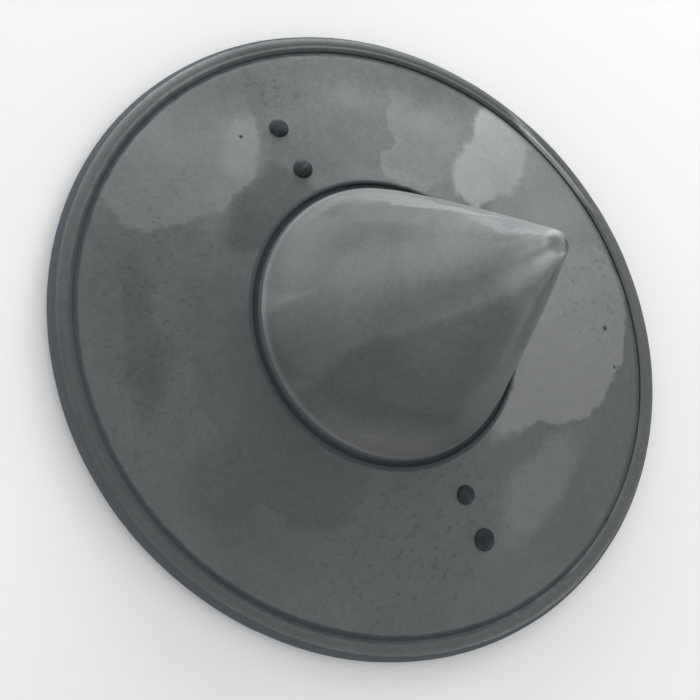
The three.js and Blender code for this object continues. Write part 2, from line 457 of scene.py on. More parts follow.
def turned_piece(name, section, finish, steps_round, wave, hammer, seed):
    """A piece turned from its section; wave and hammer are the relief's depth and size in millimetres."""
    radii, heights, grime_and_shade, rubbed_and_highlit, beaten = zip(*section)
    places = [(r, 0, z) for r, z in zip(radii, heights)]
    return finish_by_nodes(
        points_piece(name, places, {"grime_and_shade": grime_and_shade, "rubbed_and_highlit": rubbed_and_highlit, "beaten": beaten}),
        TURNING,
        {
            "Steps Round": steps_round,
            "Out Of Round": OUT_OF_ROUND,
            "Long Way": LONG_WAY,
            "Oval From": OVAL_FROM * MM,
            "Oval To": OVAL_TO * MM,
            "Offset": [c * MM for c in (*BOSS_OFFSET, 0)],
            "Offset From": BOSS_OPENING * MM,
            "Offset To": CLEAR_OF_BOSS * MM,
            "Lean": [c * MM for c in (*BOSS_LEAN, 0)],
            "Foot": plate_front(BOSS_RADIUS) * MM,
            "Tip": (plate_front(BOSS_RADIUS) + BOSS_HEIGHT) * MM,
            "Wave Depth": wave[0] * MM,
            "Wave Size": wave[1] * MM,
            "Hammer Depth": hammer[0] * MM,
            "Hammer Size": hammer[1] * MM,
            "Seed": seed,
            "Finish": finish,
        },
    )


# Sections as (radius, height, dirt and shade, rubbing, beaten), from the front over the outer edge to the
# back.
# The third says where dirt gathers in the joints and where painted shade darkens the rim's roll low down,
# the fourth where edges are rubbed bright, partly a painted highlight, and beaten how much hammer relief a
# point takes. On the back, beaten is negative, so that the relief there follows the front's.


def plate_section():
    """The dome's sheet, with the groove that the rim's lip has pressed into its front."""
    groove_start = GROOVE_RADIUS - GROOVE_REACH
    dome = steps(BOSS_OPENING + CUT_EDGE, groove_start, DOME_STEPS)
    radii = dome[:-1] + steps(groove_start, PLATE_EDGE - CUT_EDGE, EDGE_STEPS)
    section = [(BOSS_OPENING, plate_front(BOSS_OPENING) - CUT_EDGE, JOINT_SOIL, 0, 0)]
    for r in radii:
        groove = GROOVE_DEPTH * math.exp(-(((r - GROOVE_RADIUS) / GROOVE_WIDTH) ** 2))
        at_lip = smoothstep(r, GROOVE_RADIUS - LIP_DIRT, GROOVE_RADIUS)
        at_boss = 1 - smoothstep(r, BOSS_OPENING, BOSS_OPENING + FOOT_DIRT)
        dirt_and_shade = max(LIP_SOIL * at_lip, FOOT_SOIL * at_boss)
        section.append((r, plate_front(r) - groove, dirt_and_shade, 0, FULL_RELIEF - at_lip))
    section.append((PLATE_EDGE, plate_front(PLATE_EDGE) - CUT_EDGE, 0, 0, 0))
    section.append((PLATE_EDGE, plate_back(PLATE_EDGE) + CUT_EDGE, 0, 0, 0))
    for r in radii[::-HIDDEN_EVERY] + [radii[0]]:
        section.append((r, plate_back(r), 0, 0, -FULL_RELIEF))
    section.append((BOSS_OPENING, plate_back(BOSS_OPENING) + CUT_EDGE, JOINT_SOIL, 0, 0))
    return section + [section[0]]


def rim_section():
    """The rolled strip: its lip on the plate, the roll with its flat underside, its end behind the plate."""
    half_flat = math.acos(1 - REST_FLAT / ROLL_RADIUS)
    down = -math.pi / 2
    turns = steps(LIP_END, down + half_flat, ROLL_STEPS) + steps(down - half_flat, BACK_END, ROLL_END_STEPS)
    centre_height = ROLL_RADIUS - REST_FLAT
    lip_bottom = plate_front(LIP_RADIUS) + GAP
    lip_top = lip_bottom + LIP_THICKNESS
    lip_land = LIP_RADIUS + LIP_BEVEL
    outside, inside = [
        [(ROLL_CENTRE + radius * math.cos(t), centre_height + radius * math.sin(t)) for t in turns]
        for radius in (ROLL_RADIUS, ROLL_RADIUS - RIM_SHEET)
    ]
    section = [(lip_land, lip_bottom, JOINT_SOIL, 0, 0)]
    section.append((LIP_RADIUS + LIP_EDGE, lip_bottom, JOINT_SOIL, 0, 0))
    for share in steps(0, 1, BEVEL_STEPS):
        z = lip_bottom + lerp(LIP_EDGE, LIP_THICKNESS, math.sin(share * math.pi / 2))
        section.append((LIP_RADIUS + LIP_BEVEL * share, z, lerp(LIP_SOIL, BEVEL_SOIL, share), 0, 0))
    roll_radius, roll_height = outside[0]
    for share in steps(*LAND_SPAN, LAND_STEPS):
        r = lerp(lip_land, roll_radius, share)
        section.append((r, lerp(lip_top, roll_height, share), 0, 0, LAND_RELIEF))
    # The roll's outside gets painted shade, darkest low down
    for r, z in outside:
        above = (z - centre_height) / ROLL_RADIUS
        low = 1 - smoothstep(above, *ROLL_PAINTED_SHADE_FADE)
        lowest = 1 - smoothstep(above, *EDGE_PAINTED_SHADE_FADE)
        dirt_and_shade = max(ROLL_PAINTED_SHADE * low, EDGE_PAINTED_SHADE * lowest)
        section.append((r, z, dirt_and_shade, 0, smoothstep(z, 0, CLEAR_OF_FLOOR)))
    section += [(r, z, JOINT_SOIL, 0, 0) for r, z in reversed(inside)]
    return section + [section[0]]


def flank_point(share):
    """Radius and height of the boss's flank, from 0 at its foot to 1 at the point it aims for."""
    radius = BOSS_RADIUS * (1 - share) * (1 + BOSS_SWELL * share)
    return radius, plate_front(BOSS_RADIUS) + BOSS_HEIGHT * share


def boss_section():
    """The blunt tip, the flank, the foot and the flange behind the plate, then the wall of the hollow."""
    tip_slope = math.atan(BOSS_RADIUS * (1 + BOSS_SWELL) / BOSS_HEIGHT)
    aim = flank_point(1)[1]
    ball_height = aim - TIP_RADIUS / math.sin(tip_slope)
    ball_share = 1 - TIP_RADIUS * math.cos(tip_slope) / (BOSS_RADIUS * (1 + BOSS_SWELL))
    wall_across = BOSS_WALL / math.cos(tip_slope)
    inner_top = aim - wall_across / math.tan(tip_slope) - TIP_RADIUS
    flank = [flank_point(share) for share in steps(ball_share, 0, FLANK_STEPS)]
    hollow = [
        (r - wall_across, z)
        for r, z in flank[::-HIDDEN_EVERY]
        if r > TIP_RADIUS + wall_across and z < inner_top
    ]
    foot = flank[-1][1]
    inner_foot = BOSS_RADIUS - wall_across
    bend_height = flange_front(BOSS_RADIUS) + FOOT_BEND

    section = [(0, ball_height + TIP_RADIUS, 0, TIP_WEAR_AND_HIGHLIGHT, 0)]
    for r, z in arc((0, ball_height), TIP_RADIUS, 90, math.degrees(tip_slope), TIP_STEPS)[1:-1]:
        section.append((r, z, 0, TIP_WEAR_AND_HIGHLIGHT, TIP_RELIEF))
    for r, z in flank:
        rise = z - foot
        dirt_and_shade = FOOT_SOIL * (1 - smoothstep(rise, 0, FOOT_EDGE))
        # A line rubbed bright above the foot's dirt, and the tip, partly wear and partly a painted highlight
        rubbed = smoothstep(rise, FOOT_RUB_AND_HIGHLIGHT_START, FOOT_EDGE) - smoothstep(rise, FOOT_EDGE, FOOT_RUB_AND_HIGHLIGHT_END)
        near_tip = TIP_WEAR_AND_HIGHLIGHT * smoothstep(rise / BOSS_HEIGHT, *TIP_WEAR_AND_HIGHLIGHT_FADE)
        section.append((r, z, dirt_and_shade, max(rubbed, near_tip), smoothstep(rise, 0, CLEAR_OF_FOOT)))
    section.append((BOSS_RADIUS, bend_height, JOINT_SOIL, 0, 0))
    section.append((BOSS_RADIUS + CUT_EDGE, bend_height - 2 * CUT_EDGE, JOINT_SOIL, 0, 0))
    for r in steps(BOSS_RADIUS + FOOT_BEND, FLANGE_RADIUS - CUT_EDGE, FLANGE_STEPS):
        section.append((r, flange_front(r), JOINT_SOIL, 0, 0))
    section.append((FLANGE_RADIUS, flange_front(FLANGE_RADIUS) - CUT_EDGE, FLANGE_SOIL, 0, 0))
    section.append((FLANGE_RADIUS, flange_back(FLANGE_RADIUS) + CUT_EDGE, FLANGE_SOIL, 0, 0))
    for r in steps(FLANGE_RADIUS - CUT_EDGE, inner_foot + FOOT_BEND, FLANGE_STEPS):
        section.append((r, flange_back(r), 0, 0, 0))
    section.append((inner_foot, flange_front(BOSS_RADIUS), 0, 0, 0))
    section += [(r, z, 0, 0, -FULL_RELIEF) for r, z in hollow]
    section.append((0, inner_top, 0, 0, 0))
    return section


def strap_top(r):
    """Height of the strap's upper side: under the flange, then stepped up to the plate's back beyond it."""
    step_start = FLANGE_RADIUS + STRAP_STEP_START
    past = smoothstep(r, step_start, step_start + STRAP_STEP_LENGTH)
    return lerp(flange_back(r), plate_back(r), past) - GAP


def forged_grip(finish):
    """The grip as rings of points along Y: flat straps at the ends, an oval hold between, dents all over."""
    around = 56
    along = 180
    end_round = STRAP_WIDTH / 2
    verts = []
    for row in range(along + 1):
        y = GRIP_LENGTH * (row / along - 0.5)
        r = abs(y)
        edge_radius = math.hypot(max(r, BOSS_OPENING), STRAP_WIDTH / 2 - GRIP_X)
        flat = smoothstep(r, HOLD_HALF_LENGTH, HOLD_HALF_LENGTH + NECK_LENGTH)
        into_end = max(0, r - (GRIP_LENGTH / 2 - end_round)) / end_round
        half_width = lerp(HOLD_WIDTH, STRAP_WIDTH, flat) / 2 * math.sqrt(1 - END_ROUNDING * into_end**2)
        half_depth = lerp(HOLD_DEPTH, STRAP, flat) / 2
        centre = lerp(HOLD_CENTRE, strap_top(edge_radius) - STRAP / 2, flat)
        oval = lerp(HOLD_OVAL, STRAP_OVAL, flat)
        for column in range(around):
            turn = math.tau * column / around
            across = math.copysign(abs(math.cos(turn)) ** oval, math.cos(turn))
            down = math.copysign(abs(math.sin(turn)) ** oval, math.sin(turn))
            spot = (across * GRIP_DENTS_ACROSS, down * GRIP_DENTS_ACROSS, y / GRIP_DENT_LENGTH)
            dent = GRIP_DENT * noise.noise(spot) * (1 - STRAP_FLATTENING * flat)
            x = GRIP_X + (half_width + dent) * across
            verts.append((x * MM, y * MM, (centre + (half_depth + dent) * down) * MM))
    faces = [tuple(range(around)), tuple(reversed(range(along * around, (along + 1) * around)))]
    for row in range(along):
        for column in range(around):
            beside = (column + 1) % around
            low, high = row * around, (row + 1) * around
            faces.append((low + column, high + column, high + beside, low + beside))
    mesh = bpy.data.meshes.new("grip")
    mesh.from_pydata(verts, [], faces)
    mesh.materials.append(finish)
    mesh.shade_smooth()
    return new_piece("grip_bar", mesh)


def rivet_tree():
    """Sets a rivet on every point: domed head, shank and hammered tail, square to the plate there."""
    real = "NodeSocketFloat"
    tree, given = new_geometry_tree(
        "rivets_on_points",
        {
            "Head Height": real,
            "Shank Radius": real,
            "Tail Radius": real,
            "Tail Height": real,
            "Dent": real,
            "Finish": "NodeSocketMaterial",
        },
    )
    points = given["Geometry"]
    at_point = {}
    for label in ("lean", "head", "length"):
        at_point[label] = add(tree, "GeometryNodeInputNamedAttribute", {"Name": label}, data_type="FLOAT")

    # A dome of unit size: a ball with its lower half pressed flat, dented by the hammer
    ball = add(tree, "GeometryNodeMeshUVSphere", {"Segments": 40, "Rings": 24, "Radius": 1.0})
    place = add(tree, "GeometryNodeInputPosition")
    pressed = add(tree, "ShaderNodeVectorMath", {0: place, 1: (-1, -1, -HEAD_RIM)}, operation="MAXIMUM")
    dome = add(tree, "GeometryNodeSetPosition", {"Geometry": ball, "Position": pressed})
    dents = add(tree, "ShaderNodeTexNoise", {"Vector": place, "Scale": HEAD_DENTS, "Detail": 1.0})
    depth = add(tree, "ShaderNodeMath", {0: dents, 1: given["Dent"]}, operation="MULTIPLY")
    normal = add(tree, "GeometryNodeInputNormal")
    dent = add(tree, "ShaderNodeVectorMath", {0: normal, "Scale": depth}, operation="SCALE")
    dome = add(tree, "GeometryNodeSetPosition", {"Geometry": dome, "Offset": dent})
    bar = add(tree, "GeometryNodeMeshCylinder", {"Vertices": 24, "Radius": 1.0, "Depth": 1.0})

    lean = add(tree, "ShaderNodeCombineXYZ", {"X": at_point["lean"]})
    upright = add(tree, "FunctionNodeEulerToRotation", {"Euler": lean})
    over = add(tree, "FunctionNodeEulerToRotation", {"Euler": (math.pi, 0, 0)})
    upside_down = add(
        tree,
        "FunctionNodeRotateRotation",
        {"Rotation": upright, "Rotate By": over},
        rotation_space="LOCAL",
    )
    head_size = add(
        tree,
        "ShaderNodeCombineXYZ",
        {"X": at_point["head"], "Y": at_point["head"], "Z": given["Head Height"]},
    )
    shank_size = add(
        tree,
        "ShaderNodeCombineXYZ",
        {"X": given["Shank Radius"], "Y": given["Shank Radius"], "Z": at_point["length"]},
    )
    tail_size = add(
        tree,
        "ShaderNodeCombineXYZ",
        {"X": given["Tail Radius"], "Y": given["Tail Radius"], "Z": given["Tail Height"]},
    )
    joined = add(tree, "GeometryNodeJoinGeometry")
    for form, depth_share, way, size in (
        (dome, 0.0, upright, head_size),
        (bar, -0.5, upright, shank_size),
        (dome, -1.0, upside_down, tail_size),
    ):
        height = add(tree, "ShaderNodeMath", {0: at_point["length"], 1: depth_share}, operation="MULTIPLY")
        straight = add(tree, "ShaderNodeCombineXYZ", {"Z": height})
        leaning = add(tree, "FunctionNodeRotateVector", {"Vector": straight, "Rotation": upright})
        moved = add(tree, "GeometryNodeSetPosition", {"Geometry": points, "Offset": leaning})
        placed = add(
            tree,
            "GeometryNodeInstanceOnPoints",
            {"Points": moved, "Instance": form, "Rotation": way, "Scale": size},
        )
        tree.links.new(placed.outputs[0], joined.inputs[0])
    shape = add(tree, "GeometryNodeRealizeInstances", {"Geometry": joined})
    shape = add(tree, "GeometryNodeSetShadeSmooth", {"Geometry": shape, "Shade Smooth": True})
    shape = add(tree, "GeometryNodeSetMaterial", {"Geometry": shape, "Material": given["Finish"]})
    add(tree, "NodeGroupOutput", {"Geometry": shape})
    return tree


def rivets(finish):
    """All the rivets, each one standing on the plate's front face on the grip's line."""
    places = []
    values = {"lean": [], "head": [], "length": []}
    for y, head in RIVETS.values():
        r = abs(y)
        layers = SHEET + STRAP + 3 * GAP
        if r < FLANGE_RADIUS:
            layers += SHEET + GAP
        places.append((GRIP_X, y, plate_front(r) + GAP))
        values["lean"].append(-math.copysign(plate_slope(r), y))
        values["head"].append(head * MM)
        values["length"].append(layers * MM)
    return finish_by_nodes(
        points_piece("rivets", places, values),
        rivet_tree(),
        {
            "Head Height": HEAD_HEIGHT * MM,
            "Shank Radius": SHANK_RADIUS * MM,
            "Tail Radius": TAIL_RADIUS * MM,
            "Tail Height": TAIL_HEIGHT * MM,
            "Dent": HEAD_DENT,
            "Finish": finish,
        },
    )


# Materials

# Steel from tarnished through bright to gleaming: the gleam is a painted highlight, and lighter and darker
# patches along this run are painted reflections and painted shade
TARNISH_AND_PAINTED_SHADE = "#55595a"
BRIGHT_AND_PAINTED_REFLECTION = "#919394"
PAINTED_GLEAM = "#c9cbcc"
# Grime, also used for painted shade on the shaded side and low on the rim's roll
GRIME_AND_PAINTED_SHADE = "#4a5054"
BLACK_RUST = "#3b4044"
FIRE_SCALE = "#3a3a39"
BARE_IRON = "#66696a"
RED_RUST = "#5a4334"
OIL_BLACK = "#32373a"
RUBBED_BLACK = "#3f4446"
PALE_PAPER = "#eeeeee"
STUDIO_GREY = "#e3e4e5"

# Sizes in the steel: bays in a patch's edge, flecks, distance between pits, bays in the grime's edge
PATCH_BAY = 24
FLECK = 3.2
PIT_SPACING = 9
GRIME_BAY = 9
# Scour marks are finer than this, and are drawn as coarse as they need to show
SCOUR_MARK = 1.1
# Clouds of tarnish, then the fine mottling of a scoured sheet: size, detail, coarseness, change of polish
CLOUDS = ((34, 5.0, 0.6, 0.06), (2.6, 3.0, 0.5, 0.04))

# Sizes in the iron: flakes of scale, damp patches that have rusted, rubbed spots on a rivet
SCALE_FLAKE = 9
RUST_PATCH = 19
RUBBED_SPOT = 4
# The scale's grit is finer than this, and is drawn as coarse as it needs to show
SCALE_GRIT = 1.6

# Ragged ovals where the surface differs from the rest, each laid over the ones before it:
# middle, half length, half width, turn in degrees, softness of the edge, then the amount. For polish, 0 is
# tarnished, 1 bright and 2 gleaming; for pitting, 1 is pitted all over. The polish ovals are painted
# reflections and painted shade: lighter and darker patches laid where light and shadow fall on the sheet.
# On the plate and rim the middle is (x, y). On the boss it is (round the foot from +X, height).
# On the plate: painted reflections in the light patches, a painted shadow of the boss beside it, painted
# shade in the other dark patches
PLATE_POLISH_AND_PAINTED_LIGHT = {
    "left_upper": ((-95, 62), 44, 26, 60, 0.3, 0.19),
    "left_streak": ((-106, 44), 36, 9, 68, 0.4, 0.08),
    "left_spot": ((-106, -32), 18, 13, 80, 0.5, 0.17),
    "dark_by_boss": ((-62, -6), 62, 36, 84, 0.05, 0.18),
    "wedge": ((-14, 72), 40, 19, 12, 0.2, 0.02),
    "upper_left": ((-52, 113), 44, 33, 24, 0.03, 0.42),
    "upper_left_spot": ((-25, 103), 14, 9, 40, 0.2, 0.54),
    "top": ((30, 98), 42, 48, 0, 0.06, 0.21),
    "top_edge": ((6, 130), 42, 14, 0, 0.6, 0.1),
    "upper_right": ((85, 72), 39, 31, -45, 0.03, 0.39),
    "upper_step": ((52, 65), 17, 13, 0, 0.05, 0.4),
    "upper_edge": ((66, 114), 56, 14, -38, 0.7, 0.04),
    "right_band": ((112, 10), 40, 36, 60, 0.1, 0.46),
    "right_haze": ((114, 48), 26, 22, -60, 0.15, 0.46),
    "right_glow": ((95, 54), 28, 15, 20, 0.14, 0.72),
    "glow_top": ((106, 65), 17, 11, 40, 0.16, 0.72),
    "glow_low": ((79, 45), 15, 10, 20, 0.16, 0.76),
    "lower_right": ((92, -37), 50, 34, 30, 0.03, 0.72),
    "right_fade": ((116, 6), 28, 17, 0, 0.8, 0.58),
    "beside_boss": ((47, -60), 22, 8, 14, 0.2, 0.72),
    "low_haze": ((38, -95), 33, 12, 26, 0.3, 0.48),
}
PLATE_PITTING = {
    "left": ((-98, 48), 56, 30, 64, 0.7, 1.0),
    "low": ((-40, -94), 50, 28, 10, 0.7, 1.0),
    "right": ((116, -28), 32, 22, 80, 0.7, 0.8),
    "top": ((4, 122), 16, 12, 0, 0.7, 0.8),
}
# Single deep pits: x, y and radius, and the shares of the radius between which one falls away
DEEP_PITS = ((-22, 107, 0.9), (114, -45, 1.4), (109, -64, 0.9))
PIT_WALL = (1.3, 0.6)
# On the boss: a painted highlight along the crest and round the tip, painted light round the foot, painted
# shade on the lower flank and along the far edge
BOSS_POLISH_AND_PAINTED_LIGHT = {
    "foot": ((190, 22), 190, 34, 0, 0.7, 0.55),
    "cheek": ((146, 60), 52, 24, 88, 0.1, 0.28),
    "under_cheek": ((191, 66), 58, 22, 88, 0.12, 0.25),
    "cheek_front": ((124, 62), 48, 20, 90, 0.6, 0.08),
    "brow_foot": ((130, 22), 30, 28, 0, 0.7, 0.5),
    "shade": ((252, 64), 66, 46, 82, 0.11, 0.06),
    "shade_foot": ((276, 20), 46, 20, 0, 0.8, 0.68),
    "brow": ((120, 118), 44, 16, 60, 0.4, 0.2),
    "under_crest": ((112, 66), 40, 9, 89, 0.3, 0.2),
    "crest_foot": ((106, 27), 26, 8, 0, 0.5, 0.8),
    "crest_low": ((90, 60), 66, 8, 89, 0.2, 0.64),
    "crest_high": ((118, 138), 28, 8, 49, 0.35, 0.4),
    "tip_side": ((170, 152), 24, 20, 0, 0.5, 0.26),
    "tip": ((222, 158), 46, 24, 0, 0.3, 0.56),
    "tip_edge": ((234, 160), 26, 11, 0, 0.4, 0.8),
    "flank_low": ((310, 58), 46, 24, 90, 0.3, 0.2),
    "flank": ((316, 140), 48, 26, 90, 0.3, 0.0),
}
# On the rim: a painted highlight streak on the lip, painted shade on the left and on the far side
RIM_POLISH_AND_PAINTED_LIGHT = {
    "left": ((-150, 10), 90, 50, 90, 0.5, 0.1),
    "far_side": ((76, 116), 130, 44, -40, 0.4, 0.0),
    "lip_streak": ((133.5, 41.7), 27, 2.2, 107, 0.5, 1.0),
}
# Painted shade in the grime: the side where it is drawn thickest, the shaded side, and how much thicker it
# is there than midway round
SHADED_SIDE = math.radians(-172)
SHADED_SIDE_MORE = 0.55
# Dry dirt hardly shines
DIRT_SHEEN = 0.1
# A bare edge is brighter than the sheet round it by up to this much polish, partly wear and partly a painted
# highlight
EDGE_RUB_AND_HIGHLIGHT = 0.5


def new_material(name):
    material = bpy.data.materials.new(name)
    material.use_nodes = True
    material.node_tree.nodes.clear()
    return material, material.node_tree


def unrolled(tree, place):
    """The boss's surface laid out flat: the way round its own axis from +X, at the foot, then the height."""
    spot = add(tree, "ShaderNodeSeparateXYZ", {0: place})
    foot = plate_front(BOSS_RADIUS) * MM
    rise = add(
        tree,
        "ShaderNodeMapRange",
        {"Value": spot.outputs["Z"], "From Min": foot, "From Max": foot + BOSS_HEIGHT * MM},
    )
    axis = add(
        tree,
        "ShaderNodeVectorMath",
        {
            0: [c * MM for c in (*BOSS_LEAN, 0)],
            1: add(tree, "ShaderNodeCombineXYZ", {"X": rise, "Y": rise, "Z": rise}),
            2: [c * MM for c in (*BOSS_OFFSET, 0)],
        },
        operation="MULTIPLY_ADD",
    )
    backwards = add(tree, "ShaderNodeVectorMath", {0: axis, 1: place}, operation="SUBTRACT")
    behind = add(tree, "ShaderNodeSeparateXYZ", {0: backwards})
    turn = add(tree, "ShaderNodeMath", {0: behind.outputs["Y"], 1: behind.outputs["X"]}, operation="ARCTAN2")
    turn = add(tree, "ShaderNodeMath", {0: turn, 1: math.pi}, operation="ADD")
    way_round = add(tree, "ShaderNodeMath", {0: turn, 1: BOSS_RADIUS * MM}, operation="MULTIPLY")
    return add(tree, "ShaderNodeCombineXYZ", {"X": way_round, "Y": spot.outputs["Z"]})


def blotched(tree, place, value, ovals):
    """A value all over the surface, changed inside each oval in turn."""
    for middle, half_length, half_width, turn, softness, amount in ovals.values():
        oval = add(
            tree,
            "ShaderNodeMapping",
            {
                "Vector": place,
                "Location": (middle[0] * MM, middle[1] * MM, 0),
                "Rotation": (0, 0, math.radians(turn)),
                "Scale": (half_length * MM, half_width * MM, 1),
            },
            vector_type="TEXTURE",
        )
        outwards = add(tree, "ShaderNodeVectorMath", {0: oval}, operation="LENGTH")
        covered = add(
            tree,
            "ShaderNodeMapRange",
            {"Value": outwards, "From Min": 1 + softness, "From Max": 1 - softness},
            interpolation_type="SMOOTHSTEP",
        )
        value = add(tree, "ShaderNodeMix", {"Factor": covered, "A": value, "B": amount}, data_type="FLOAT")
    return value


def rusted(tree, place, pitting, deep_pits):
    """How far rust has eaten in: flecks that have turned black, round pits in clusters, single deep pits."""
    specks = add(tree, "ShaderNodeTexNoise", {"Vector": place, "Scale": 1 / (FLECK * MM), "Detail": 4.0})
    fleck = add(
        tree,
        "ShaderNodeMapRange",
        {"Value": specks, "From Min": 0.57, "From Max": 0.69, "To Max": 0.4},
    )
    cells = add(tree, "ShaderNodeTexVoronoi", {"Vector": place, "Scale": 1 / (PIT_SPACING * MM)})
    draw = add(tree, "ShaderNodeSeparateColor", {"Color": cells.outputs["Color"]})
    pit_size = add(
        tree,
        "ShaderNodeMapRange",
        {"Value": draw.outputs["Red"], "From Min": 0.55, "From Max": 1.0, "To Max": 0.12},
    )
    depth = add(tree, "ShaderNodeMath", {0: pit_size, 1: cells}, operation="SUBTRACT")
    pit = add(
        tree,
        "ShaderNodeMapRange",
        {"Value": depth, "From Min": 0.0, "From Max": 0.04, "To Max": 0.35},
    )
    pit = add(tree, "ShaderNodeMath", {0: pit, 1: fleck}, operation="MAXIMUM")
    pit = add(tree, "ShaderNodeMath", {0: pit, 1: pitting}, operation="MULTIPLY")
    for x, y, radius in deep_pits:
        off = add(tree, "ShaderNodeVectorMath", {0: place, 1: (x * MM, y * MM, 0)}, operation="SUBTRACT")
        off = add(tree, "ShaderNodeVectorMath", {0: off, 1: (1, 1, 0)}, operation="MULTIPLY")
        off = add(tree, "ShaderNodeVectorMath", {0: off}, operation="LENGTH")
        brink, bottom = [radius * share * MM for share in PIT_WALL]
        hollow = add(tree, "ShaderNodeMapRange", {"Value": off, "From Min": brink, "From Max": bottom})
        pit = add(tree, "ShaderNodeMath", {0: pit, 1: hollow}, operation="MAXIMUM")
    return pit


def grime_and_painted_shade(tree, place):
    """Where grime and painted shade hide the steel: deepest in the joints, with an uneven edge, thicker
    towards the shaded side as painted shade.
    """
    grime_and_shade = add(tree, "ShaderNodeAttribute", attribute_name="grime_and_shade").outputs["Fac"]
    bays = add(tree, "ShaderNodeTexNoise", {"Vector": place, "Scale": 1 / (GRIME_BAY * MM), "Detail": 3.0})
    uneven = add(
        tree,
        "ShaderNodeMapRange",
        {"Value": bays, "From Min": 0.25, "From Max": 0.75, "To Min": -0.16, "To Max": 0.16},
    )
    flat = add(tree, "ShaderNodeVectorMath", {0: place, 1: (1, 1, 0)}, operation="MULTIPLY")
    way = add(tree, "ShaderNodeVectorMath", {0: flat}, operation="NORMALIZE")
    # Painted shade: the grime is drawn thicker towards the shaded side
    shaded_way = (math.cos(SHADED_SIDE), math.sin(SHADED_SIDE), 0)
    side = add(tree, "ShaderNodeVectorMath", {0: way, 1: shaded_way}, operation="DOT_PRODUCT")
    shaded_side_factor = add(tree, "ShaderNodeMath", {0: side, 1: SHADED_SIDE_MORE, 2: 1.0}, operation="MULTIPLY_ADD")
    dirt_and_shade = add(tree, "ShaderNodeMath", {0: grime_and_shade, 1: shaded_side_factor, 2: uneven}, operation="MULTIPLY_ADD")
    return add(
        tree,
        "ShaderNodeMapRange",
        {"Value": dirt_and_shade, "From Min": 0.35, "From Max": 0.9},
        interpolation_type="SMOOTHSTEP",
    )


